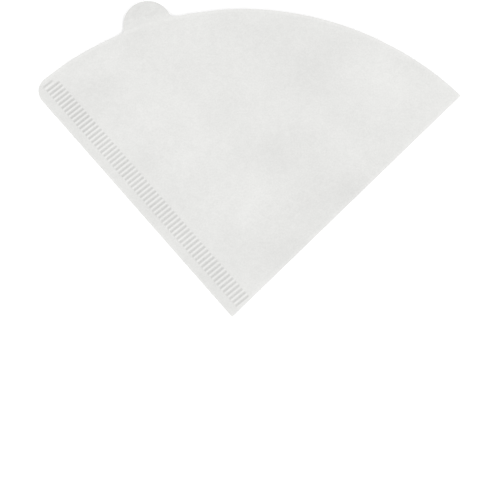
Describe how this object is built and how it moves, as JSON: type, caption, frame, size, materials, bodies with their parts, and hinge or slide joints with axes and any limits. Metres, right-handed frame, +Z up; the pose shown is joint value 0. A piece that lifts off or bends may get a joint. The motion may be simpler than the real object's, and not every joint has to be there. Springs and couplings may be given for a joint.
{
  "type": "paper coffee filter",
  "caption": "Flat-folded white paper cone filter with one folded edge, a crimped seam edge, an arched mouth and a small rounded pull tab.",
  "frame": {"origin": "under the middle of the object's box, on the surface that the filter lies flat on", "axes": "+Z up out of the upper leaf, +Y from the pointed tip up the middle to the curved mouth, +X across the mouth, with the fold on the +X side and the crimped seam on the -X side"},
  "size_m": [0.1616, 0.1246, 0.0029],
  "materials": {
    "paper": "matt bleached creped filter paper with a cloudy formation"
  },
  "bodies": {
    "root": {"filter_paper": "paper"}
  },
  "joints": []
}
